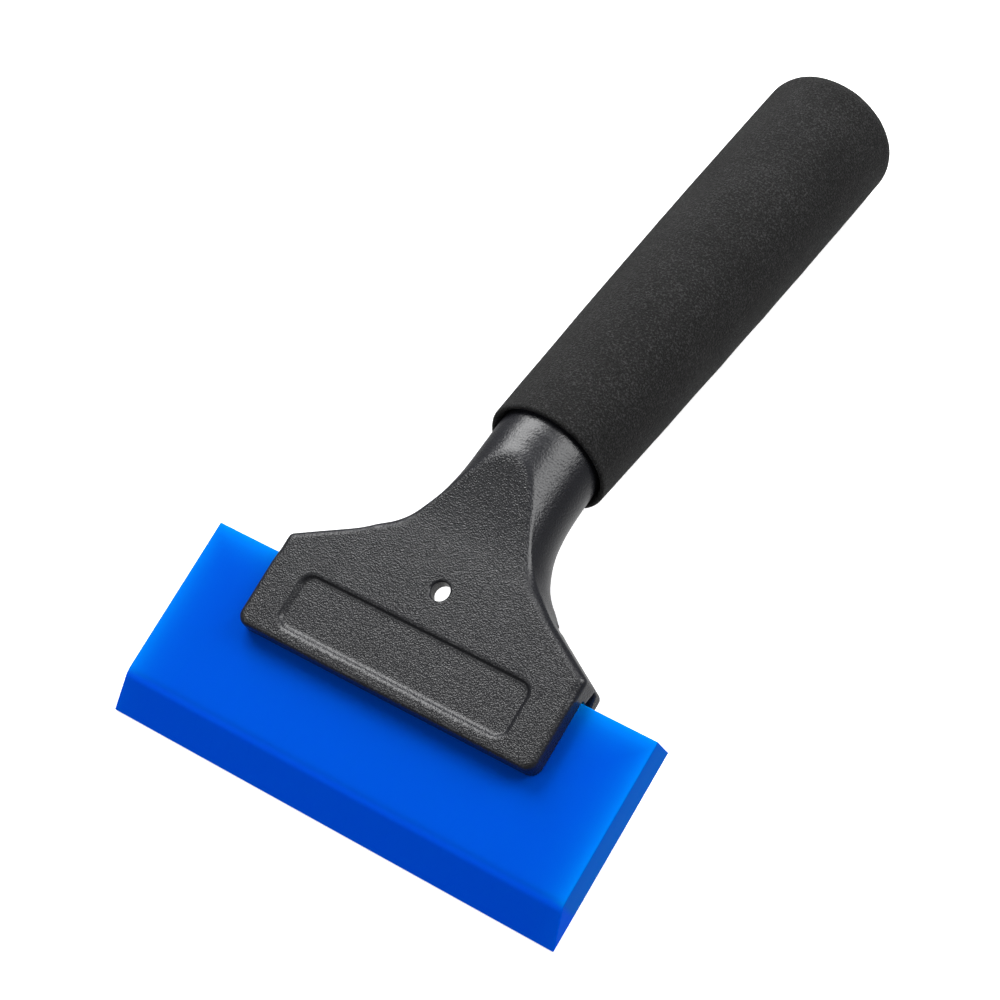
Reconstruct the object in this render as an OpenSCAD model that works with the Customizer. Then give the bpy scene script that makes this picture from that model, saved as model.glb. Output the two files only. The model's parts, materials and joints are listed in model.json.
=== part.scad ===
// Squeegee applicator: a thick bevelled blade clamped in a moulded head, on a
// raked handle with a closed-end foam grip.
// Blade frame used by every module: X along the blade, Y from the blade's
// working edge towards the handle (Y = 0 at the blade's inner edge), Z out of
// the front face (Z = 0 on the blade's front face). rest() turns that frame so
// that the tool lies on its blade edge and on the underside of its grip.

/* [Blade] */
// Length of the blade along its working edge
blade_l = 127; // [90:0.5:200]
// Depth of the blade from its inner edge to its working edge
blade_d = 50.6; // [40:0.1:60]
// Thickness of the blade
blade_t = 6.35; // [6:0.05:6.6]
// Height of the bevel on the front face
bevel_h = 8.8; // [5:0.1:14]
// Flat left at the very tip of the bevel
tip_land = 0.3; // [0.2:0.05:0.8]
// How much shorter the front face is than the back at each end
end_draft = 1.0; // [0:0.1:2]

/* [Head] */
// Width of the jaws
head_w = 84.6; // [76:0.2:88]
// Depth of blade held between the jaws
grip_d = 20; // [16:0.5:24]
// Front face of the head above the blade's front face
front_z = 5.2; // [4.8:0.1:7]
// Back face of the head's clamping seat, below the blade's front face
seat_z = 3.6; // [3.2:0.1:4.2]
// Radius of the hang hole
hang_r = 2.4; // [2:0.1:3]
// Wall left at the hang hole
hang_wall = 4.0; // [3:0.1:4.5]
// Height of the hang hole above the blade's inner edge
hang_y = 7.6; // [7:0.1:10]
// Depth of the recess in the front face
recess_depth = 1.0; // [0.4:0.1:1.4]
// Half width of the recess
recess_hw = 32.5; // [24:0.5:36]

/* [Clamp] */
// Back face of the rear jaw, below the blade's front face
jaw_back = 10.6; // [10:0.1:12]
// Distance of each clamp screw from the middle
screw_x = 27; // [18:0.5:30]
// Height of the clamp screws above the blade's inner edge
screw_y = 6.5; // [5.5:0.1:8]
// Gap between each jaw and the blade
jaw_gap = 0.1; // [0.05:0.01:0.2]

/* [Handle] */
// Angle the handle leans back from the blade
rake = 19.5; // [10:0.5:25]
// Height of the handle's axis over the blade's inner edge
axis_z = 11; // [10:0.1:12]
// Radius of the neck and of the core inside the grip
neck_r = 14; // [13:0.1:15]
// Start of the grip along the handle's axis
grip_s0 = 52.6; // [50:0.1:60]
// End of the grip along the handle's axis
grip_s1 = 188; // [150:1:220]
// Radius of the grip at its lip
grip_r0 = 16.1; // [15.5:0.05:17]
// Radius of the grip at its butt
grip_r1 = 18.05; // [17:0.05:19]

/* [Hidden] */
$fn = 96;
EPS = 0.01;

hw = head_w / 2;
// butt of the grip: corner radius, dome radius and the centres of both arcs
butt_r = 5.8;
dome_r = 33;
corner_c = grip_r1 - butt_r;
corner_s = grip_s1 - dome_r + sqrt(pow(dome_r - butt_r, 2) - corner_c * corner_c);
// core of the handle, inside the grip
core_end = grip_s1 - 8;
bore_r = 10.6;
plug_t = 2;
// M4 clamp screws
m4_r = 1.95;
insert_r = 2.8;
insert_bore = 2.0;
insert_l = 6;
washer_t = 0.8;
washer_z = -(jaw_back - 3.0);
head_z = washer_z - washer_t - 0.02;
// resting attitude: the blade's tip and the grip's underside share one floor
_ay = corner_s * cos(rake) + blade_d - corner_c * sin(rake);
_bz = axis_z - corner_s * sin(rake) + blade_t - corner_c * cos(rake);
beta = asin(butt_r / sqrt(_ay * _ay + _bz * _bz)) - atan2(_bz, _ay);
floor_z = -blade_d * sin(beta) - blade_t * cos(beta);
y_low = -blade_d * cos(beta) + (blade_t - tip_land) * sin(beta);
y_high = (grip_s1 - dome_r) * cos(rake) * cos(beta)
       - (axis_z - (grip_s1 - dome_r) * sin(rake)) * sin(beta) + dome_r;

function arc(cx, cy, r, a0, a1, n) =
    [for (i = [0:n]) let (a = a0 + (a1 - a0) * i / n) [cx + r * cos(a), cy + r * sin(a)]];
function mirrored(p) = [for (i = [len(p) - 1:-1:0]) [-p[i][0], p[i][1]]];

// right half of the head's outline, seen from the front, drawn in by i
function half_outline(i, top) = concat(
    arc(hw - 3, -grip_d + 3, 3 - i, -90, 0, 6),
    arc(hw - 3.5, 2.45, 3.5 - i, 0, 60, 6),
    arc(neck_r + 29.7, 38.2, 30 + i, 240, 180, 14),
    [[neck_r - 0.3 - i, top]]);
function outline(i, top) = concat(half_outline(i, top), mirrored(half_outline(i, top)));

// front face: flat over the head, then rising on to the neck
function front(y) = front_z + (y <= 20 ? 0 : 4.5 * pow((y - 20) / 25.6, 1.7));
// back of the shoulders, a plane just inside the back of the tube
function back(y) = axis_z - (neck_r - 0.4) / cos(rake) - tan(rake) * y;
// radius of the grip at s along the axis
function grip_r(s) = let (t = (s - grip_s0) / (corner_s - grip_s0))
    grip_r0 + (grip_r1 - grip_r0) * (1 - pow(1 - t, 2));

module rest() {
    translate([0, -(y_low + y_high) / 2, -floor_z]) rotate([beta, 0, 0]) children();
}
// a frame with Z along the handle's axis, towards the butt
module along_handle(s = 0) {
    translate([0, s * cos(rake), axis_z - s * sin(rake)]) rotate([-90 - rake, 0, 0]) children();
}
// extrudes a profile given as [y, z] points along X
module along_x(w, c = 0) {
    translate([c - w / 2, 0, 0]) rotate([90, 0, 90]) linear_extrude(height = w) children();
}
module rounded(w, h, r) {
    square([w - 2 * r, h], center = true);
    square([w, h - 2 * r], center = true);
    for (x = [-1, 1], y = [-1, 1]) translate([x * (w / 2 - r), y * (h / 2 - r)]) circle(r = r);
}

// plan of the rear jaw, before its rounding
module jaw_plan(i, top) {
    difference() {
        intersection() {
            polygon(outline(i, 40));
            translate([-60, -30]) square([120, 30 + top]);
        }
        // notch that straddles the back of the neck
        translate([-13 + (i - 0.2), 4.5]) square([26 - 2 * (i - 0.2), 20]);
        translate([-11 + (i - 0.2), 2.5]) square([22 - 2 * (i - 0.2), 20]);
        for (x = [-1, 1]) translate([x * (11 - (i - 0.2)), 4.5]) circle(r = 2);
    }
}

module head_solid() {
    difference() {
        union() {
            // head and shoulders
            intersection() {
                union() {
                    translate([0, 0, -30]) linear_extrude(height = 30 + front_z - 0.6) polygon(outline(0, 50));
                    translate([0, 0, -30]) linear_extrude(height = 60) polygon(outline(0.5, 50));
                }
                along_x(120) polygon([[-30, 0.1], [-30, 25], [47, 25], [47, back(47)],
                    [0.4, back(0.4)], [0.4, 0.1]]);
                // rounds the shoulders off into the round neck
                along_handle() rotate_extrude() polygon([[0, -80], [120, -80], [120, 4], [60, 12],
                    [40, 18], [27, 23], [20.5, 28], [17.4, 33], [15.6, 38], [14.4, 43], [13.6, 48],
                    [13.4, 70], [0, 70]]);
            }
            // neck, and the core that carries the grip
            along_handle(30) cylinder(r = neck_r, h = core_end - 30);
        }
        // front face
        along_x(120) polygon(concat([[-40, 40], [-40, front_z]],
            [for (y = [20:4:48]) [y, front(y)]], [[60, 40]]));
    }
}

module head_body() {
    color([0.13, 0.13, 0.14]) rest() difference() {
        head_solid();
        // seat for the rear jaw, either side of the back of the neck
        difference() {
            translate([0, 0, -30]) linear_extrude(height = 30 - seat_z)
                translate([-60, -30]) square([120, 30 + 14.2]);
            translate([0, 0, -31]) linear_extrude(height = 32) {
                translate([-12.6, 4.9]) square([25.2, 20]);
                translate([-10.6, 2.9]) square([21.2, 20]);
                for (x = [-1, 1]) translate([x * 10.6, 4.9]) circle(r = 2);
            }
        }
        // pocket behind the hang hole
        translate([0, 10.4, -30]) linear_extrude(height = 30 + front_z - hang_wall) rounded(18, 11.6, 3);
        // hang hole
        translate([0, hang_y, -2]) cylinder(r = hang_r, h = 12);
        // recess in the front face
        translate([0, -9, front_z - recess_depth]) linear_extrude(height = 4)
            rounded(2 * recess_hw, 14, 3.4);
        // holes for the threaded inserts
        for (x = [-1, 1]) translate([x * screw_x, screw_y, -seat_z - 1])
            cylinder(r = insert_r + 0.02, h = insert_l + 1.8);
        // serrations over the blade
        for (y = [-17.5:3:-2.5]) translate([0, y, 0.05]) rotate([45, 0, 0])
            cube([head_w - 6, 0.6, 0.6], center = true);
        // bore of the core
        along_handle(56) cylinder(r = bore_r, h = 200);
    }
}

module rear_jaw() {
    b = -blade_t - jaw_gap;
    color([0.15, 0.15, 0.16]) rest() difference() {
        intersection() {
            translate([0, 0, -20]) linear_extrude(height = 20) jaw_plan(0.2, 13.8);
            // section: blade face, step up to the heel, rounded back
            along_x(120) polygon(concat(
                [[-grip_d, b], [0.5, b], [5.5, -seat_z - 0.8], [13.8, -seat_z - 0.8]],
                arc(11.3, -jaw_back + 2.5, 2.5, 0, -90, 6),
                arc(-grip_d + 2.5, -jaw_back + 2.5, 2.5, -90, -180, 6)));
            // rounded ends
            translate([0, 60, 0]) rotate([90, 0, 0]) linear_extrude(height = 120) polygon(concat(
                [[-hw + 0.2, 0], [hw - 0.2, 0]],
                arc(hw - 3.2, -jaw_back + 3, 3, 0, -90, 6),
                arc(-hw + 3.2, -jaw_back + 3, 3, -90, -180, 6)));
        }
        for (x = [-1, 1]) translate([x * screw_x, screw_y, 0]) {
            translate([0, 0, -15]) cylinder(r = 2.25, h = 15);
            translate([0, 0, -15]) cylinder(r = 4.6, h = 15 + washer_z);
        }
        // serrations over the blade
        for (y = [-17.5:3:-2.5]) translate([0, y, b + 0.05]) rotate([45, 0, 0])
            cube([head_w - 6, 0.6, 0.6], center = true);
    }
}

module blade() {
    h1 = blade_d - bevel_h;
    color([0.0, 0.37, 0.9]) rest() difference() {
        along_x(blade_l) polygon([[0, 0], [0, -blade_t], [-blade_d, -blade_t],
            [-blade_d, -blade_t + tip_land], [-h1, 0]]);
        // drafted ends: the front face is shorter than the back
        for (x = [-1, 1]) translate([x * blade_l / 2, 0, -blade_t]) rotate([90, 0, 0])
            linear_extrude(height = 200, center = true)
                polygon([[0, 0], [x * 5, 0], [x * 5, blade_t + 5], [-x * end_draft * (blade_t + 5) / blade_t, blade_t + 5]]);
    }
}

module foam_grip() {
    color([0.09, 0.09, 0.09]) rest() along_handle() difference() {
        rotate_extrude() polygon(concat(
            [[0, grip_s0], [grip_r0 - 1.2, grip_s0]],
            arc(grip_r0 - 1.2, grip_s0 + 1.2, 1.2, -60, 0, 3),
            [for (i = [1:12]) let (s = grip_s0 + 1.2 + (corner_s - grip_s0 - 1.2) * i / 12) [grip_r(s), s]],
            arc(corner_c, corner_s, butt_r, 10, 90 - asin(corner_c / (dome_r - butt_r)), 6),
            [for (i = [1:6]) let (a = (1 - i / 6) * asin(corner_c / (dome_r - butt_r)))
                [dome_r * sin(a), grip_s1 - dome_r + dome_r * cos(a)]]));
        cylinder(r = neck_r + 0.05, h = core_end + plug_t + 0.2);
    }
}

// button-head screw with a hexagon socket, head towards -Z
module clamp_screw(x) {
    translate([x, screw_y, head_z]) difference() {
        union() {
            rotate_extrude() polygon(concat([[0, 0], [3.8, 0], [3.8, -0.5]],
                [for (a = [15:15:75]) [3.8 * cos(a), -0.5 - 1.7 * sin(a)]], [[0, -2.2]]));
            translate([0, 0, -0.1]) cylinder(r = m4_r, h = 9.7);
            translate([0, 0, 9.6 - EPS]) cylinder(r1 = m4_r, r2 = 1.5, h = 0.4);
        }
        translate([0, 0, -3]) cylinder(r = 2.5 / sqrt(3), h = 2.2, $fn = 6);
    }
}
module clamp_screw_left() { color([0.55, 0.56, 0.58]) rest() clamp_screw(-screw_x); }
module clamp_screw_right() { color([0.55, 0.56, 0.58]) rest() clamp_screw(screw_x); }

module washers() {
    color([0.7, 0.7, 0.72]) rest() for (x = [-1, 1])
        translate([x * screw_x, screw_y, washer_z - washer_t]) difference() {
            cylinder(r = 4.4, h = washer_t);
            translate([0, 0, -1]) cylinder(r = 2.2, h = washer_t + 2);
        }
}

module threaded_inserts() {
    color([0.8, 0.65, 0.3]) rest() for (x = [-1, 1])
        translate([x * screw_x, screw_y, -seat_z]) difference() {
            union() {
                cylinder(r = insert_r - 0.35, h = insert_l);
                for (z = [0, 3.5]) translate([0, 0, z]) cylinder(r = insert_r, h = 2.5);
            }
            translate([0, 0, -1]) cylinder(r = insert_bore, h = insert_l + 2);
        }
}

module core_plug() {
    color([0.2, 0.2, 0.2]) rest() along_handle(core_end) difference() {
        union() {
            cylinder(r = 13.6, h = plug_t);
            translate([0, 0, -10]) cylinder(r = bore_r - 0.03, h = 10 + EPS);
        }
        translate([0, 0, -11]) cylinder(r = bore_r - 2, h = 11);
    }
}

head_body();
rear_jaw();
blade();
foam_grip();
clamp_screw_left();
clamp_screw_right();
washers();
threaded_inserts();
core_plug();
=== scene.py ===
import json
import math

import bpy
import numpy as np
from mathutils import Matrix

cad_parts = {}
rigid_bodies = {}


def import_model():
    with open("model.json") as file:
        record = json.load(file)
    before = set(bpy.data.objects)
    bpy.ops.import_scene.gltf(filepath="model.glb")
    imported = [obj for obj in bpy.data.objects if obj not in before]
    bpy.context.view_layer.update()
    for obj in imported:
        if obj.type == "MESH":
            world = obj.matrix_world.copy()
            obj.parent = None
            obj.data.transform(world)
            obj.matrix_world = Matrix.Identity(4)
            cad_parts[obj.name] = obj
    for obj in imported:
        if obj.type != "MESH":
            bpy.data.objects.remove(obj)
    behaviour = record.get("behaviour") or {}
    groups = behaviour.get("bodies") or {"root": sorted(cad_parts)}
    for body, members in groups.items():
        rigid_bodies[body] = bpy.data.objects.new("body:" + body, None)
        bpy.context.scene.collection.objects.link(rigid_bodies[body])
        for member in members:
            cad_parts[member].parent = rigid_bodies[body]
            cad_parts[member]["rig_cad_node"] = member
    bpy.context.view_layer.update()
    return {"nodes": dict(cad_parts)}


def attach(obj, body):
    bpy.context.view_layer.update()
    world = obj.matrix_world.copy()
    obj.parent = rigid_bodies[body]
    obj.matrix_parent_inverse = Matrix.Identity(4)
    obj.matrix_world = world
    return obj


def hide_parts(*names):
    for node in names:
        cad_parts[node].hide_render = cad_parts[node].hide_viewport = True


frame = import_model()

# ---------------------------------------------------------------------------
# The blade frame of the CAD source, in mm: X along the blade, Y from the
# blade towards the handle, Z out of the front face. rest() lays it down.
# ---------------------------------------------------------------------------
BLADE_L, BLADE_D, BLADE_T, BEVEL_H, TIP, DRAFT = 127.0, 50.6, 6.35, 8.8, 0.3, 1.0
HW, GRIP_D, FRONT, SEAT = 42.3, 20.0, 5.2, 3.6
HANG_R, HANG_Y, HANG_WALL, REC_D, REC_HW = 2.4, 7.6, 4.0, 1.0, 32.5
JAW_BACK, SCREW_X, SCREW_Y, GAP = 10.6, 27.0, 6.5, 0.1
RAKE, AXIS_Z, NECK_R = math.radians(19.5), 11.0, 14.0
S0, S1, R0, R1, BUTT_R, DOME_R = 52.6, 188.0, 16.1, 18.05, 5.8, 33.0
CORNER_C = R1 - BUTT_R
CORNER_S = S1 - DOME_R + math.sqrt((DOME_R - BUTT_R) ** 2 - CORNER_C ** 2)
CA, SA = math.cos(RAKE), math.sin(RAKE)

_ay = CORNER_S * CA + BLADE_D - CORNER_C * SA
_bz = AXIS_Z - CORNER_S * SA + BLADE_T - CORNER_C * CA
BETA = math.asin(BUTT_R / math.hypot(_ay, _bz)) - math.atan2(_bz, _ay)
CB, SB = math.cos(BETA), math.sin(BETA)
FLOOR_Z = -BLADE_D * SB - BLADE_T * CB
Y_LOW = -BLADE_D * CB + (BLADE_T - TIP) * SB
Y_HIGH = (S1 - DOME_R) * CA * CB - (AXIS_Z - (S1 - DOME_R) * SA) * SB + DOME_R
SHIFT = np.array([0.0, -(Y_LOW + Y_HIGH) / 2, -FLOOR_Z])
ROT = np.array([[1, 0, 0], [0, CB, -SB], [0, SB, CB]])


def rest(p):
    """Blade frame in mm to the row frame in metres."""
    return (np.asarray(p, float) @ ROT.T + SHIFT) * 0.001


def turned(v):
    return np.asarray(v, float) @ ROT.T


# ---------------------------------------------------------------------------
# Rounded solids as distance fields, meshed by surface nets
# ---------------------------------------------------------------------------
def rmax(a, b, r):
    """Intersection of two fields with a rounded edge of radius r."""
    return np.minimum(-r, np.maximum(a, b)) + np.hypot(np.maximum(a + r, 0), np.maximum(b + r, 0))


def rmin(a, b, r):
    """Union with a fillet of radius r."""
    return -rmax(-a, -b, r)


def rrect(x, y, hx, hy, r):
    dx, dy = np.abs(x) - hx + r, np.abs(y) - hy + r
    return np.hypot(np.maximum(dx, 0), np.maximum(dy, 0)) + np.minimum(np.maximum(dx, dy), 0) - r


def outline(x, y):
    """Signed distance to the head's outline, seen from the front."""
    x = np.abs(x)
    best = np.full(np.broadcast(x, y).shape, 1e9)
    sign = np.zeros_like(best)

    def take(d, s):
        nonlocal best, sign
        near = d < best
        best = np.where(near, d, best)
        sign = np.where(near, s, sign)

    def line(ax, ay, bx, by):
        ux, uy = bx - ax, by - ay
        n = math.hypot(ux, uy)
        t = np.clip(((x - ax) * ux + (y - ay) * uy) / (n * n), 0, 1)
        d = np.hypot(x - ax - t * ux, y - ay - t * uy)
        take(d, np.sign((x - ax) * uy - (y - ay) * ux))

    def arc(cx, cy, r, a0, a1, out):
        a0, a1 = math.radians(a0), math.radians(a1)
        mid, half = (a0 + a1) / 2, abs(a1 - a0) / 2
        a = np.arctan2(y - cy, x - cx) - mid
        a = (a + math.pi) % (2 * math.pi) - math.pi
        rad = np.hypot(x - cx, y - cy)
        d = np.where(np.abs(a) <= half, np.abs(rad - r), 1e8)
        take(d, np.sign(rad - r) * out)

    line(-5, -GRIP_D, HW - 3, -GRIP_D)
    arc(HW - 3, 3 - GRIP_D, 3, -90, 0, 1)
    line(HW, 3 - GRIP_D, HW, 3.446)
    arc(HW - 1.8, 3.446, 1.8, 0, 60, 1)
    line(HW - 0.9, 3.446 + 1.8 * math.sin(math.pi / 3), NECK_R + 14.7, 38.2 - 30 * math.sin(math.pi / 3))
    arc(NECK_R + 29.7, 38.2, 30, 180, 240, -1)
    line(NECK_R - 0.3, 38.2, NECK_R - 0.3, 90)
    return best * sign


def ease(a, b, v):
    t = np.clip((v - a) / (b - a), 0, 1)
    return t * t * (3 - 2 * t)


def front(y):
    return FRONT + 4.5 * (np.maximum(y - 20, 0) / 25.6) ** 1.7


def front_field(y, z):
    slope = 4.5 * 1.7 / 25.6 * (np.maximum(y - 20, 0) / 25.6) ** 0.7
    return (z - front(y)) / np.sqrt(1 + slope ** 2)


# The neck's section in planes of constant Y is a circle of radius neck_r about
# height neck_z: flatter than the handle through the shoulders, then along it.
_ny = np.array([-40, 4, 8, 12, 15, 18, 20, 22, 24, 27, 30, 33, 36, 39, 42, 45, 48, 50, 52, 60, 220.0])
_nr = np.array([260, 84, 48, 32.5, 26.2, 21.6, 19.6, 18.15, 17.15, 15.95, 15.1, 14.6, 14.25, 14.1, 14.03, 14, 14, 14, 14, 14, 14])
_nz = np.array([-3, -3, -3, -3, -3, -3.05, -3.1, -3.15, -3.2, -3.34, -3.58, -3.93, -4.34, -4.78, -5.24, -5.76, -6.36, -6.86,
                -7.46, AXIS_Z - 60 * SA / CA, AXIS_Z - 220 * SA / CA])
_fine = np.linspace(-40, 219, 2591)


def _smooth(values):
    """Monotone-ish cubic through the table, then its slope."""
    m = np.gradient(values, _ny)
    i = np.clip(np.searchsorted(_ny, _fine) - 1, 0, len(_ny) - 2)
    h = _ny[i + 1] - _ny[i]
    u = np.clip((_fine - _ny[i]) / h, 0, 1)
    v = ((1 + 2 * u) * (1 - u) ** 2 * values[i] + u * (1 - u) ** 2 * h * m[i]
         + u ** 2 * (3 - 2 * u) * values[i + 1] + u ** 2 * (u - 1) * h * m[i + 1])
    return v, np.gradient(v, _fine)


_neck_r, _neck_dr = _smooth(_nr)
_neck_z, _neck_dz = _smooth(_nz)


def neck_field(x, y, z):
    """The round neck, which widens downwards into the shoulders."""
    k = 1 / np.sqrt(1 + np.interp(y, _fine, _neck_dz) ** 2)
    r = np.hypot(x, (z - np.interp(y, _fine, _neck_z)) * k)
    return (r - np.interp(y, _fine, _neck_r)) / np.sqrt(1 + np.interp(y, _fine, _neck_dr) ** 2)


def grooves(y, depth):
    """Serrations over the blade, every 3 mm."""
    d = np.abs((y + 17.5 + 1.5) % 3.0 - 1.5)
    near = (y > -18.6) & (y < -1.4)
    return np.where(near, np.maximum(depth - d, 0), 0)


def head_field(P):
    x, y, z = P[..., 0], P[..., 1], P[..., 2]
    s = y * CA - (z - AXIS_Z) * SA
    h = y * SA + (z - AXIS_Z) * CA
    r = np.hypot(x, h)
    plan = outline(x, y) - 1.2 * ease(15, 24, y)
    jaw = rmax(plan, GAP + np.where(np.abs(x) < HW - 3, grooves(y, 0.42), 0) - z, 0.3)
    back = 0.4 - NECK_R - h - 1.6 * ease(32, 46, y)
    shoulder = rmax(rmax(plan, back, 2.6), 0.4 - y, 0.3)
    f = np.minimum(jaw, shoulder)
    f = rmax(f, neck_field(x, y, z), 0.5)
    f = rmax(f, s - 180, 0.5)
    f = rmax(f, front_field(y, z), 1.5 + 0.7 * ease(-4, 1, y) - 1.4 * ease(17, 27, y))
    # seat of the rear jaw
    dx, dy = np.abs(x) - 10.6, 4.9 - y
    boss = np.hypot(np.maximum(dx, 0), np.maximum(dy, 0)) + np.minimum(np.maximum(dx, dy), 0) - 2
    seat = np.maximum(np.maximum(z + SEAT, y - 14.2), -boss)
    f = rmax(f, -seat, 0.35)
    # pocket behind the hang hole, and the hole
    pocket = rmax(rrect(x, y - 10.4, 9, 5.8, 3), z - (FRONT - HANG_WALL), 0.9)
    f = rmax(f, -pocket, 0.5)
    hole = np.hypot(x, y - HANG_Y) - HANG_R
    hole = np.maximum(hole, -2 - z)
    f = rmax(f, -hole, 0.6)
    # recess in the front face, with sloped walls
    t = np.clip(FRONT - z, -1, 2)
    d2 = rrect(x, y + 9.4 - 0.3 * t, REC_HW, 7.5 - 0.3 * t, 3.4)
    rec = rmax((d2 + 0.7 * t) * 0.8, FRONT - REC_D - z, 0.45)
    f = rmax(f, -rec, 0.45)
    # seats of the threaded inserts
    ins = np.maximum(np.maximum(np.hypot(np.abs(x) - SCREW_X, y - SCREW_Y) - 2.82, z - 3.2), -4.6 - z)
    f = np.maximum(f, -ins)
    # bore of the core
    return np.maximum(f, -np.maximum(r - 10.6, 56 - s))


def jaw_field(P):
    x, y, z = P[..., 0], P[..., 1], P[..., 2]
    dx, dy = np.abs(x) - 11.0, 4.5 - y
    notch = np.hypot(np.maximum(dx, 0), np.maximum(dy, 0)) + np.minimum(np.maximum(dx, dy), 0) - 2
    f = rmax(outline(x, y) + 0.2, y - 13.8, 0.6)
    f = rmax(f, -notch, 0.5)
    f = rmax(f, -JAW_BACK - z, 2.5)
    b = -BLADE_T - GAP
    t = np.clip((y - 0.5) / 5.0, 0, 1)
    top = b - np.where(np.abs(x) < HW - 3, grooves(y, 0.42), 0) + t * (-SEAT - 0.8 - b)
    k = np.where((t > 0) & (t < 1), math.hypot(1, (-SEAT - 0.8 - b) / 5.0), 1.0)
    f = rmax(f, (z - top) / k, 0.35)
    rad = np.hypot(np.abs(x) - SCREW_X, y - SCREW_Y)
    f = np.maximum(f, -(rad - 2.25))
    bore = np.maximum(rad - 4.6, z + JAW_BACK - 3.0)
    return rmax(f, -bore, 0.3)


def blade_field(P):
    x, y, z = P[..., 0], P[..., 1], P[..., 2]
    f = rmax(y, z, 0.3)
    f = rmax(f, -BLADE_T - z, 0.06 + 0.19 * ease(-50, -46, y))
    n = math.hypot(BLADE_T - TIP, BEVEL_H)
    bevel = (-(y + BLADE_D - BEVEL_H) * (BLADE_T - TIP) + z * BEVEL_H) / n
    f = rmax(f, bevel, 0.06 + 0.84 * ease(-5.2, -2.5, z))
    f = rmax(f, -BLADE_D - y, 0.06)
    k = DRAFT / BLADE_T
    end = (np.abs(x) - BLADE_L / 2 + k * (z + BLADE_T)) / math.hypot(1, k)
    return rmax(f, end, 0.3)


def gradient(field, P, e=0.015):
    g = np.empty_like(P)
    for k in range(3):
        d = np.zeros(3)
        d[k] = e
        g[:, k] = (field(P + d) - field(P - d)) / (2 * e)
    return g


def nets(field, xs, ys, zs):
    """Mesh of field's zero surface on a grid, projected on to it: points, quads and unit normals, in the blade frame."""
    F = np.empty((len(xs), len(ys), len(zs)))
    Y, Z = np.meshgrid(ys, zs, indexing="ij")
    for i0 in range(0, len(xs), 24):
        X = xs[i0:i0 + 24]
        Q = np.empty((len(X),) + Y.shape + (3,))
        Q[..., 0], Q[..., 1], Q[..., 2] = X[:, None, None], Y, Z
        F[i0:i0 + 24] = field(Q)
    S = F < 0
    n = [len(xs) - 1, len(ys) - 1, len(zs) - 1]
    count = np.zeros(n, np.int8)
    for a in (0, 1):
        for b in (0, 1):
            for c in (0, 1):
                count += S[a:a + n[0], b:b + n[1], c:c + n[2]]
    active = (count > 0) & (count < 8)
    I, J, K = np.nonzero(active)
    index = np.full(n, -1, np.int64)
    index[I, J, K] = np.arange(len(I))
    G = (xs, ys, zs)
    P, m = np.zeros((len(I), 3)), np.zeros(len(I))
    for axis in range(3):
        o1, o2 = [k for k in range(3) if k != axis]
        for a in (0, 1):
            for b in (0, 1):
                c0 = [I.copy(), J.copy(), K.copy()]
                c0[o1] += a
                c0[o2] += b
                c1 = [v.copy() for v in c0]
                c1[axis] += 1
                f0, f1 = F[tuple(c0)], F[tuple(c1)]
                hit = (f0 < 0) != (f1 < 0)
                t = np.where(hit, f0 / np.where(hit, f0 - f1, 1), 0)
                q = np.stack([G[k][c0[k]] for k in range(3)], 1)
                q[:, axis] += t * (G[axis][c1[axis]] - G[axis][c0[axis]])
                P += q * hit[:, None]
                m += hit
    P /= m[:, None]
    lo = np.stack([xs[I], ys[J], zs[K]], 1)
    hi = np.stack([xs[I + 1], ys[J + 1], zs[K + 1]], 1)
    pad = 0.35 * (hi - lo)
    for step in range(4):
        g = gradient(field, P)
        g2 = np.maximum((g * g).sum(1), 0.2)
        P = np.clip(P - (field(P) / g2)[:, None] * g, lo - pad, hi + pad)
    N = gradient(field, P)
    N /= np.maximum(np.linalg.norm(N, axis=1), 1e-9)[:, None]
    quads = []
    for axis in range(3):
        u, v = (axis + 1) % 3, (axis + 2) % 3
        a = [slice(None)] * 3
        b = [slice(None)] * 3
        a[axis], b[axis] = slice(0, n[axis]), slice(1, n[axis] + 1)
        cross = S[tuple(a)] != S[tuple(b)]
        sel = [slice(None)] * 3
        sel[u], sel[v] = slice(1, n[u]), slice(1, n[v])
        e = list(np.nonzero(cross[tuple(sel)]))
        e[u] += 1
        e[v] += 1
        out = S[tuple(a)][tuple(e)]

        def cell(du, dv):
            c = [k.copy() for k in e]
            c[u] += du
            c[v] += dv
            return index[tuple(c)]

        q = np.stack([cell(-1, -1), cell(0, -1), cell(0, 0), cell(-1, 0)], 1)
        quads.append(np.where(out[:, None], q, q[:, ::-1]))
    return P, np.concatenate(quads), N


def spans(*parts):
    """Grid lines from (start, stop, step) runs that follow each other."""
    out = []
    for a, b, step in parts:
        k = max(1, round((b - a) / step))
        out.append(np.linspace(a, b, k + 1)[:-1])
    return np.concatenate(out + [[parts[-1][1]]])


def both_sides(half):
    return np.concatenate([-half[::-1], half])


def mesh_object(name, P, faces, N=None, smooth=True):
    me = bpy.data.meshes.new(name)
    faces = np.asarray(faces)
    me.vertices.add(len(P))
    me.vertices.foreach_set("co", rest(P).astype(np.float32).ravel())
    k = faces.shape[1]
    me.loops.add(faces.size)
    me.loops.foreach_set("vertex_index", faces.astype(np.int32).ravel())
    me.polygons.add(len(faces))
    me.polygons.foreach_set("loop_start", np.arange(0, faces.size, k, dtype=np.int32))
    me.update(calc_edges=True)
    me.validate()
    me.polygons.foreach_set("use_smooth", np.ones(len(me.polygons), bool) if smooth else np.zeros(len(me.polygons), bool))
    if N is not None:
        me.normals_split_custom_set_from_vertices(turned(N).astype(np.float32))
    o = bpy.data.objects.new(name, me)
    bpy.context.scene.collection.objects.link(o)
    return o


def attribute(o, name, values):
    a = o.data.attributes.new(name, "FLOAT", "POINT")
    a.data.foreach_set("value", np.asarray(values, np.float32))


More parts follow.
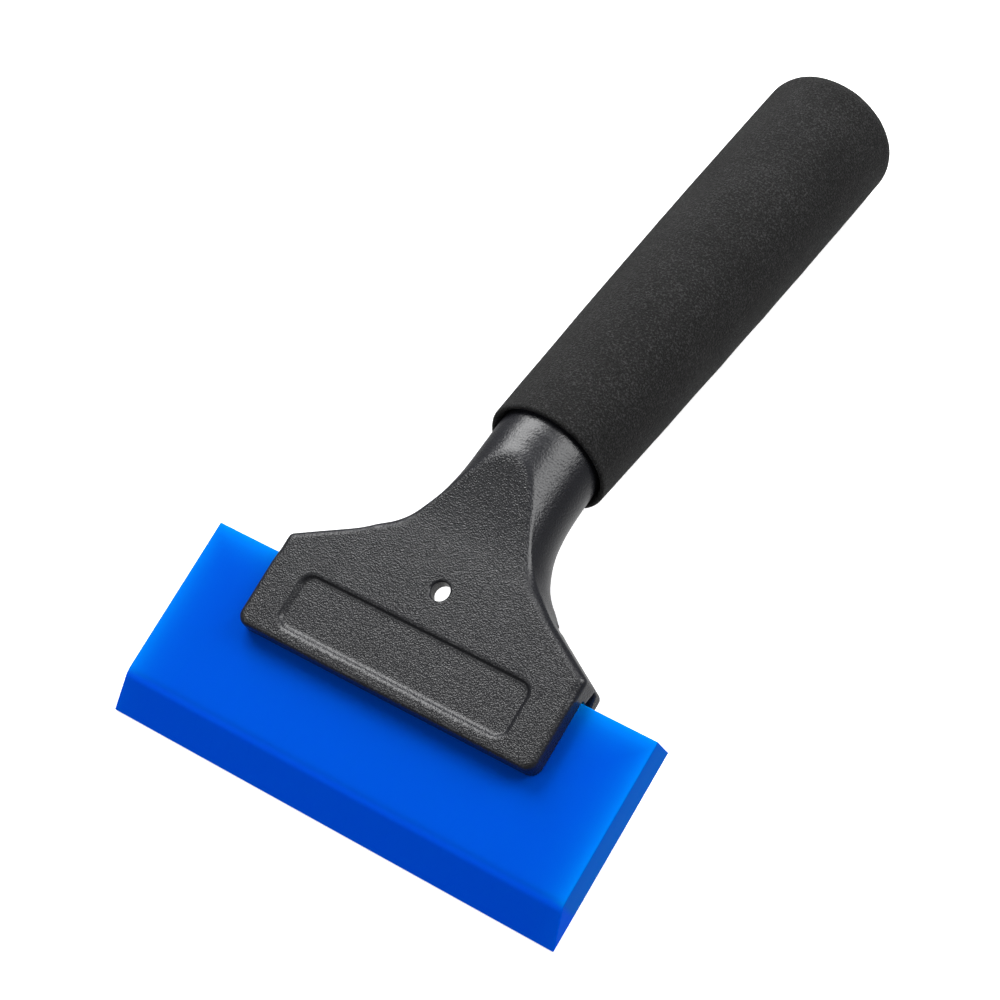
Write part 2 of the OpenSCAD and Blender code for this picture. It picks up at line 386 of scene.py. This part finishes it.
def smoothstep(a, b, v):
    t = np.clip((v - a) / (b - a), 0, 1)
    return t * t * (3 - 2 * t)


# ---------------------------------------------------------------------------
# Pieces
# ---------------------------------------------------------------------------
STEP = 0.50

# head moulding, with the hollow core that runs up inside the grip
xs = both_sides(spans((STEP / 2, 42.9, STEP)))
ys = spans((-20.7, 0, STEP * 0.72), (0, 54, STEP), (54, 57, 0.8), (57, 168, 4.0), (168, 172.6, 0.6))
zs = spans((-67, -61, 0.8), (-61, -24, 2.0), (-24, -4.4, STEP), (-4.4, 6.2, STEP * 0.8), (6.2, 11.4, STEP))
P, Q, N = nets(head_field, xs, ys, zs)
head = mesh_object("head_moulding", P, Q, N)
inner = rrect(P[:, 0], P[:, 1] + 9.2, REC_HW - 0.8, 6.5, 2.8)
sides = np.maximum(outline(P[:, 0], P[:, 1]) - 1.2 * ease(15, 24, P[:, 1]), neck_field(P[:, 0], P[:, 1], P[:, 2]))
g = smoothstep(0.45, -0.15, sides - front_field(P[:, 1], P[:, 2])) * (P[:, 2] > 3.2)
g = np.where(inner < 2.2, P[:, 2] > 3.2, g)
fs = 4.5 * 1.7 / 25.6 * (np.maximum(P[:, 1] - 20, 0) / 25.6) ** 0.7
flat = (N[:, 2] - fs * N[:, 1]) / np.sqrt(1 + fs ** 2)
g *= 0.3 + 0.7 * smoothstep(0.92, 0.985, flat)
attribute(head, "grain", g)
attribute(head, "floor", smoothstep(0.2, -0.4, inner) * (P[:, 2] > 3.5))
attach(head, "handle")
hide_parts("head_body")

# rear jaw
xs = both_sides(spans((STEP / 2, 42.7, STEP)))
ys = spans((-20.6, 0, STEP * 0.72), (0, 14.4, STEP))
zs = spans((-11.2, -3.9, STEP * 0.8))
P, Q, N = nets(jaw_field, xs, ys, zs)
jaw = mesh_object("rear_jaw_moulding", P, Q, N)
attribute(jaw, "grain", 0.45 * smoothstep(0.6, 0.95, -N[:, 2]) * (P[:, 2] < -9.5))
attribute(jaw, "floor", 0 * P[:, 2])
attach(jaw, "clamp")
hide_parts("rear_jaw")

# blade
xs = both_sides(spans((0.9, 60.3, 1.8), (60.3, 62.1, 0.45), (62.1, 63.9, 0.12)))
ys = spans((-50.9, -50.0, 0.1), (-50.0, -43.0, 0.7), (-43.0, -40.6, 0.24), (-40.6, -0.8, 1.4), (-0.8, 0.25, 0.12))
zs = spans((-6.65, -5.6, 0.1), (-5.6, -0.7, 0.7), (-0.7, 0.25, 0.1))
P, Q, N = nets(blade_field, xs, ys, zs)
blade = mesh_object("blade_cast", P, Q, N)
# painted edge glow: base colour lightened within a few mm of the blade's edges, standing in for light that enters the
# translucent blade there; weaker on the end faces
edge = np.minimum(BLADE_L / 2 - np.abs(P[:, 0]), -P[:, 1])
attribute(blade, "painted_edge_glow", np.exp(-np.maximum(edge, 0) / 2.8) * (1 - 0.6 * smoothstep(0.5, 0.9, np.abs(N[:, 0]))))
# painted glow: the bevel's base colour is lightened, standing in for light passing through the blade's thin edge
attribute(blade, "tip", smoothstep(-40.8, -42.6, P[:, 1]))
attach(blade, "blade")
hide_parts("blade")


# foam grip: a turned profile, closed at the butt, with the moulding's slight unevenness
def grip_r(s):
    t = np.clip((s - S0) / (CORNER_S - S0), 0, 1)
    return R0 + (R1 - R0) * (1 - (1 - t) ** 2)


def foam_profile():
    a = np.radians
    pts = []

    def add(rs, ss):
        pts.extend(zip(np.atleast_1d(rs), np.atleast_1d(ss)))

    lip = 0.7
    ang = a(np.linspace(-90, 0, 9))
    inner = 14.2
    add([inner] * 20, np.linspace(182.2, 55.4, 20))
    add([14.3, 14.5, 14.75, 14.92], [54.6, 53.9, 53.3, 52.95])
    t = a(np.linspace(180, 270, 6))[1:]
    add(15.32 + 0.35 * np.cos(t), 52.95 + 0.35 * np.sin(t))
    top = grip_r(np.array(S0 + lip))
    add(top - lip + lip * np.cos(ang)[:-1], S0 + lip + lip * np.sin(ang)[:-1])
    ss = np.linspace(S0 + lip, CORNER_S, 190)
    add(grip_r(ss), ss)
    lim = math.asin(CORNER_C / (DOME_R - BUTT_R))
    t = np.linspace(0, math.pi / 2 - lim, 16)[1:]
    add(CORNER_C + BUTT_R * np.cos(t), CORNER_S + BUTT_R * np.sin(t))
    t = np.linspace(lim, 0.004, 22)[1:]
    add(DOME_R * np.sin(t), S1 - DOME_R + DOME_R * np.cos(t))
    return np.array(pts, float)


prof = foam_profile()
SEG = 224
th = np.linspace(0, 2 * math.pi, SEG, endpoint=False)
rr = prof[:, 0][:, None] * np.ones(SEG)
sv = prof[:, 1][:, None] * np.ones(SEG)
rng = np.random.default_rng(7)
dent = np.zeros_like(rr)
for k in range(26):
    m, f, p1, p2 = rng.integers(0, 7), rng.uniform(0.02, 0.22), *rng.uniform(0, 6.28, 2)
    dent += rng.normal() * 0.016 * np.sin(m * th[None, :] + p1) * np.sin(f * sv + p2)
outer = (prof[:, 0] > 14.8)[:, None]
rr = rr - np.abs(dent) * outer * np.clip(rr / 16, 0, 1)
hx = rr * np.cos(th)
hh = rr * np.sin(th)
P = np.stack([hx, sv * CA + hh * SA, AXIS_Z - sv * SA + hh * CA], -1).reshape(-1, 3)
rows = len(prof)
i, j = np.meshgrid(np.arange(rows - 1), np.arange(SEG), indexing="ij")
j2 = (j + 1) % SEG
Q = np.stack([i * SEG + j, (i + 1) * SEG + j, (i + 1) * SEG + j2, i * SEG + j2], -1).reshape(-1, 4)
apex = len(P)
P = np.concatenate([P, [[0, S1 * CA, AXIS_Z - S1 * SA], [0, 182.2 * CA, AXIS_Z - 182.2 * SA]]])
last = (rows - 1) * SEG
tri = [(last + k, apex, last + (k + 1) % SEG) for k in range(SEG)] + [(apex + 1, k, (k + 1) % SEG) for k in range(SEG)]
me = bpy.data.meshes.new("foam_sleeve")
me.from_pydata(rest(P).tolist(), [], Q.tolist() + tri)
me.update()
me.validate()
foam = bpy.data.objects.new("foam_sleeve", me)
bpy.context.scene.collection.objects.link(foam)
import bmesh
bm = bmesh.new()
bm.from_mesh(me)
bmesh.ops.recalc_face_normals(bm, faces=bm.faces)
bm.to_mesh(me)
bm.free()
me.polygons.foreach_set("use_smooth", np.ones(len(me.polygons), bool))
me.update()
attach(foam, "handle")
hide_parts("foam_grip")


# ---------------------------------------------------------------------------
# Materials
# ---------------------------------------------------------------------------
class Tree:
    def __init__(self, name):
        self.m = bpy.data.materials.new(name)
        self.m.use_nodes = True
        self.t = self.m.node_tree
        self.p = self.t.nodes["Principled BSDF"]
        self.obj = self.add("ShaderNodeTexCoord").outputs["Object"]

    def add(self, kind, **props):
        n = self.t.nodes.new(kind)
        for k, v in props.items():
            setattr(n, k, v)
        return n

    def link(self, a, b):
        self.t.links.new(a, b)

    def put(self, socket, v):
        if isinstance(v, bpy.types.NodeSocket):
            self.link(v, socket)
        else:
            socket.default_value = v

    def math(self, op, a, b=0.0, c=0.0, clamp=False):
        n = self.add("ShaderNodeMath", operation=op, use_clamp=clamp)
        for k, v in enumerate((a, b, c)):
            self.put(n.inputs[k], v)
        return n.outputs[0]

    def noise(self, scale, detail=2.0, rough=0.5, distort=0.0, where=None):
        n = self.add("ShaderNodeTexNoise")
        self.link(where or self.obj, n.inputs["Vector"])
        n.inputs["Scale"].default_value = scale
        n.inputs["Detail"].default_value = detail
        n.inputs["Roughness"].default_value = rough
        n.inputs["Distortion"].default_value = distort
        return n

    def voronoi(self, scale, feature="SMOOTH_F1", smooth=0.6, rand=1.0, where=None):
        n = self.add("ShaderNodeTexVoronoi", feature=feature)
        self.link(where or self.obj, n.inputs["Vector"])
        n.inputs["Scale"].default_value = scale
        n.inputs["Randomness"].default_value = rand
        if feature == "SMOOTH_F1":
            n.inputs["Smoothness"].default_value = smooth
        return n.outputs["Distance"]

    def ramp(self, v, *stops):
        n = self.add("ShaderNodeValToRGB")
        self.link(v, n.inputs[0])
        e = n.color_ramp.elements
        while len(e) < len(stops):
            e.new(0.5)
        for k, (pos, col) in enumerate(stops):
            e[k].position = pos
            e[k].color = (*col, 1) if len(col) == 3 else col
        return n.outputs[0]

    def span(self, v, a, b, c, d):
        n = self.add("ShaderNodeMapRange")
        for k, x in zip(("Value", "From Min", "From Max", "To Min", "To Max"), (v, a, b, c, d)):
            self.put(n.inputs[k], x)
        return n.outputs[0]

    def mix(self, f, a, b):
        n = self.add("ShaderNodeMix", data_type="RGBA")
        self.put(n.inputs[0], f)
        self.put(n.inputs[6], (*a, 1) if isinstance(a, tuple) else a)
        self.put(n.inputs[7], (*b, 1) if isinstance(b, tuple) else b)
        return n.outputs[2]

    def attr(self, name):
        return self.add("ShaderNodeAttribute", attribute_name=name).outputs["Fac"]

    def bump(self, height, mm, strength=1.0, normal=None):
        n = self.add("ShaderNodeBump")
        n.inputs["Strength"].default_value = strength
        n.inputs["Distance"].default_value = mm * 0.001
        self.link(height, n.inputs["Height"])
        if normal is not None:
            self.link(normal, n.inputs["Normal"])
        return n.outputs[0]

    def warp(self, scale, amount):
        """Object coordinates pushed about by noise, so that cells aren't regular."""
        n = self.noise(scale, 1.0)
        sub = self.add("ShaderNodeVectorMath", operation="SUBTRACT")
        self.link(n.outputs["Color"], sub.inputs[0])
        sub.inputs[1].default_value = (0.5, 0.5, 0.5)
        mul = self.add("ShaderNodeVectorMath", operation="SCALE")
        self.link(sub.outputs[0], mul.inputs[0])
        mul.inputs["Scale"].default_value = amount
        add = self.add("ShaderNodeVectorMath", operation="ADD")
        self.link(self.obj, add.inputs[0])
        self.link(mul.outputs[0], add.inputs[1])
        return add.outputs[0]


def plastic(name, dark, light, grained=True):
    """Glass-filled nylon: pebbled grain where the attribute asks for it, fine spark texture elsewhere."""
    t = Tree(name)
    grain = t.attr("grain") if grained else None
    floor = t.attr("floor") if grained else None
    where = t.warp(1100, 0.0005)
    cells = t.voronoi(2250, smooth=0.3, where=where)
    pebble = t.span(cells, 0.08, 0.60, 1.0, 0.0)
    small = t.noise(2800, 1.0, 0.5)
    pitch = t.noise(1900, 1.0, 0.4)
    spark = t.noise(2300, 3.0, 0.7)
    broad = t.noise(45, 3.0)
    if grained:
        h1 = t.math("MULTIPLY", pebble, t.math("MULTIPLY", grain, t.span(floor, 0, 1, 0.9, 0.7)))
        h2 = t.math("MULTIPLY", small.outputs["Fac"], t.math("MULTIPLY", grain, 1.1))
        height = t.math("ADD", h1, h2)
        n = t.bump(height, 0.115)
        n = t.bump(t.math("MULTIPLY", pitch.outputs["Fac"], t.span(grain, 0, 1, 1.0, 0.3)), 0.085, 1.0, n)
    else:
        n = t.bump(pitch.outputs["Fac"], 0.085)
    t.link(n, t.p.inputs["Normal"])
    tone = t.span(broad.outputs["Fac"], 0.3, 0.7, 0.0, 1.0)
    fine = t.span(spark.outputs["Fac"], 0.35, 0.7, 0.0, 1.0)
    colour = t.mix(t.math("ADD", t.math("MULTIPLY", tone, 0.35), t.math("MULTIPLY", fine, 0.45)), dark, light)
    if grained:
        # painted shade: the pits of the grain, where the bump is lowest, are darkened in the base colour
        colour = t.mix(t.math("MULTIPLY", grain, t.span(small.outputs["Fac"], 0.42, 0.66, 0.75, 0.0)), colour, tuple(c * 0.35 for c in dark))
    t.link(colour, t.p.inputs["Base Color"])
    rough = t.span(spark.outputs["Fac"], 0.3, 0.75, 0.24, 0.36)
    if grained:
        rough = t.math("ADD", rough, t.math("MULTIPLY", grain, 0.02))
    t.link(rough, t.p.inputs["Roughness"])
    t.p.inputs["IOR"].default_value = 1.52
    return t.m


def foam_material():
    t = Tree("foam_black")
    cells = t.voronoi(2000, "F1", where=t.warp(1500, 0.0003))
    pits = t.span(cells, 0.10, 0.55, 0.0, 1.0)
    fine = t.noise(2100, 3.0, 0.75)
    broad = t.noise(60, 4.0, 0.6)
    h = t.math("ADD", t.math("MULTIPLY", pits, 0.5), t.math("MULTIPLY", fine.outputs["Fac"], 1.6))
    n = t.bump(h, 0.20)
    n = t.bump(broad.outputs["Fac"], 0.25, 0.5, n)
    t.link(n, t.p.inputs["Normal"])
    f = t.math("ADD", fine.outputs["Fac"], t.math("MULTIPLY", broad.outputs["Fac"], 0.12))
    colour = t.ramp(f, (0.36, (0.003, 0.003, 0.003)), (0.56, (0.010, 0.010, 0.0101)), (0.74, (0.056, 0.056, 0.057)))
    t.link(colour, t.p.inputs["Base Color"])
    t.link(t.span(fine.outputs["Fac"], 0.3, 0.7, 0.68, 0.9), t.p.inputs["Roughness"])
    t.p.inputs["Specular IOR Level"].default_value = 0.16
    t.p.inputs["Sheen Weight"].default_value = 0.06
    t.p.inputs["Sheen Roughness"].default_value = 0.5
    return t.m


def blade_material():
    t = Tree("polyurethane_blue")
    painted_edge_glow = t.attr("painted_edge_glow")
    tip = t.attr("tip")
    broad = t.noise(38, 3.0, 0.5)
    drag = t.add("ShaderNodeMapping")
    t.link(t.obj, drag.inputs["Vector"])
    drag.inputs["Scale"].default_value = (900, 60, 60)
    lines = t.noise(1.0, 2.0, 0.5, where=drag.outputs[0])
    # painted edge glow: the base colour goes lighter and greener towards the blade's edges, standing in for light
    # entering through them
    base = t.mix(painted_edge_glow, (0.0001, 0.083, 0.645), (0.0001, 0.285, 1.0))
    base = t.mix(t.span(broad.outputs["Fac"], 0.3, 0.7, 0.0, 0.12), base, (0.0001, 0.070, 0.58))
    # painted glow on the bevel: brighter blue base colour standing in for light through the thin edge
    base = t.mix(t.math("MULTIPLY", tip, 0.85), base, (0.0001, 0.106, 1.0))
    t.link(base, t.p.inputs["Base Color"])
    t.link(t.span(lines.outputs["Fac"], 0.3, 0.7, 0.27, 0.36), t.p.inputs["Roughness"])
    fine = t.noise(700, 2.0, 0.6)
    n = t.bump(fine.outputs["Fac"], 0.006, 0.7)
    t.link(n, t.p.inputs["Normal"])
    t.p.inputs["IOR"].default_value = 1.5
    t.p.inputs["Specular IOR Level"].default_value = 0.05
    t.p.inputs["Specular Tint"].default_value = (0.02, 0.25, 1.0, 1.0)
    t.p.inputs["Subsurface Weight"].default_value = 0.2
    t.p.inputs["Subsurface Radius"].default_value = (0.05, 0.45, 1.0)
    t.p.inputs["Subsurface Scale"].default_value = 0.0018
    return t.m


def metal(name, colour, rough, scale=(1.0, 1.0, 1.0)):
    t = Tree(name)
    m = t.add("ShaderNodeMapping")
    t.link(t.obj, m.inputs["Vector"])
    m.inputs["Scale"].default_value = scale
    fine = t.noise(2400, 3.0, 0.6, where=m.outputs[0])
    broad = t.noise(260, 2.0)
    dark = tuple(c * 0.72 for c in colour)
    t.link(t.mix(t.span(broad.outputs["Fac"], 0.3, 0.7, 0.0, 0.6), colour, dark), t.p.inputs["Base Color"])
    t.link(t.span(fine.outputs["Fac"], 0.3, 0.7, rough - 0.07, rough + 0.1), t.p.inputs["Roughness"])
    t.link(t.bump(fine.outputs["Fac"], 0.006), t.p.inputs["Normal"])
    t.p.inputs["Metallic"].default_value = 1.0
    return t.m


def dress(o, m):
    o.data.materials.clear() if "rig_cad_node" not in o else None
    if "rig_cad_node" in o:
        for s in o.material_slots:
            s.link = "OBJECT"
            s.material = m
    else:
        o.data.materials.append(m)


dress(head, plastic("nylon_head", (0.011, 0.0114, 0.0145), (0.0185, 0.019, 0.0235)))
dress(jaw, plastic("nylon_jaw", (0.011, 0.0114, 0.0145), (0.0185, 0.019, 0.0235)))
dress(blade, blade_material())
dress(foam, foam_material())
steel = metal("stainless", (0.60, 0.61, 0.63), 0.30)
zinc = metal("zinc_plate", (0.66, 0.66, 0.68), 0.36)
brass = metal("brass", (0.78, 0.60, 0.27), 0.32)
plug = plastic("plug_plastic", (0.030, 0.030, 0.032), (0.045, 0.045, 0.048), grained=False)
for node, m in (("clamp_screw_left", steel), ("clamp_screw_right", steel), ("washers", zinc),
                ("threaded_inserts", brass), ("core_plug", plug)):
    dress(frame["nodes"][node], m)

# ---------------------------------------------------------------------------
# Floor, light and camera
# ---------------------------------------------------------------------------
scene = bpy.context.scene
scene.view_settings.view_transform = "Standard"
scene.view_settings.look = "None"

bpy.ops.mesh.primitive_plane_add(size=16.0, location=(0, 0, -0.0001))
floor = bpy.context.object
floor.name = "studio_floor"
t = Tree("studio_white")
t.p.inputs["Roughness"].default_value = 0.9
t.p.inputs["Specular IOR Level"].default_value = 0.1
fl = t.noise(3.0, 2.0)
t.link(t.mix(t.span(fl.outputs["Fac"], 0, 1, 0, 1), (0.90, 0.90, 0.90), (0.92, 0.92, 0.92)), t.p.inputs["Base Color"])
t.p.inputs["Emission Color"].default_value = (1, 1, 1, 1)
t.p.inputs["Emission Strength"].default_value = 0.62
floor.data.materials.append(t.m)
floor.visible_glossy = False
floor.visible_diffuse = False

bpy.ops.mesh.primitive_uv_sphere_add(segments=48, ring_count=24, radius=7.0, location=(0, 0, 0))
backdrop = bpy.context.object
backdrop.name = "studio_backdrop"
t = Tree("backdrop_white")
t.p.inputs["Base Color"].default_value = (0, 0, 0, 1)
t.p.inputs["Specular IOR Level"].default_value = 0.0
haze = t.noise(0.2, 2.0)
t.link(t.mix(haze.outputs["Fac"], (0.93, 0.93, 0.93), (1.0, 1.0, 1.0)), t.p.inputs["Emission Color"])
t.p.inputs["Emission Strength"].default_value = 1.0
backdrop.data.materials.append(t.m)
backdrop.visible_diffuse = backdrop.visible_glossy = backdrop.visible_transmission = backdrop.visible_shadow = False

world = bpy.data.worlds.new("studio")
scene.world = world
world.use_nodes = True
# a dim horizon, a lighter ceiling, and the white table's light from below
wt = world.node_tree
up = wt.nodes.new("ShaderNodeSeparateXYZ")
wt.links.new(wt.nodes.new("ShaderNodeTexCoord").outputs["Generated"], up.inputs[0])
half = wt.nodes.new("ShaderNodeMath")
half.operation = "MULTIPLY_ADD"
wt.links.new(up.outputs["Z"], half.inputs[0])
half.inputs[1].default_value = half.inputs[2].default_value = 0.5
sky = wt.nodes.new("ShaderNodeValToRGB")
wt.links.new(half.outputs[0], sky.inputs[0])
stops = sky.color_ramp.elements
while len(stops) < 5:
    stops.new(0.5)
for e, (pos, v) in zip(stops, ((0.06, 0.75), (0.20, 0.38), (0.33, 0.16), (0.62, 0.13), (0.97, 0.34))):
    e.position, e.color = pos, (v, v, v, 1)
wt.links.new(sky.outputs[0], wt.nodes["Background"].inputs["Color"])
wt.nodes["Background"].inputs["Strength"].default_value = 1.0

AIM = np.array([0.0, -0.03, 0.02])


def softbox(name, direction, distance, w, h, watts, roll=0.0):
    d = np.array(direction, float)
    d /= np.linalg.norm(d)
    light = bpy.data.lights.new(name, "AREA")
    light.shape = "RECTANGLE"
    light.size, light.size_y, light.energy = w, h, watts
    o = bpy.data.objects.new(name, light)
    scene.collection.objects.link(o)
    from mathutils import Vector
    q = Vector(d).to_track_quat("Z", "Y")
    o.rotation_mode = "QUATERNION"
    from mathutils import Quaternion
    o.rotation_quaternion = q @ Quaternion((0, 0, 1), roll)
    o.location = Vector(AIM + d * distance)
    return o


softbox("key", (-0.552, 0.401, 0.731), 0.9, 0.62, 0.62, 9.2)
softbox("fill", (0.650, 0.410, 0.590), 0.8, 0.46, 0.66, 4.9)
softbox("top", (0.02, 0.55, 0.84), 0.9, 0.32, 0.30, 0.5)
softbox("front", (-0.46, -0.68, 0.57), 0.9, 0.50, 0.34, 1.15)

# camera, as fitted in the blade frame (x right, y down, z away from the camera)
CAM_R = np.array([[0.811576, 0.506942, -0.290437], [0.381887, -0.836507, -0.392961], [-0.442161, 0.208003, -0.872484]])
CAM_C = np.array([279.321, -97.990, 554.128])
CAM_F = 2739.3057
from mathutils import Matrix
cam = bpy.data.cameras.new("camera")
cam.sensor_width = 36.0
cam.lens = CAM_F * 36.0 / 1000.0
cam.clip_start, cam.clip_end = 0.05, 20.0
camera = bpy.data.objects.new("camera", cam)
scene.collection.objects.link(camera)
rw = CAM_R @ ROT.T
c = rest(CAM_C)
M = Matrix(((rw[0][0], -rw[1][0], -rw[2][0], c[0]),
            (rw[0][1], -rw[1][1], -rw[2][1], c[1]),
            (rw[0][2], -rw[1][2], -rw[2][2], c[2]),
            (0, 0, 0, 1)))
camera.matrix_world = M
scene.camera = camera

bpy.context.view_layer.update()
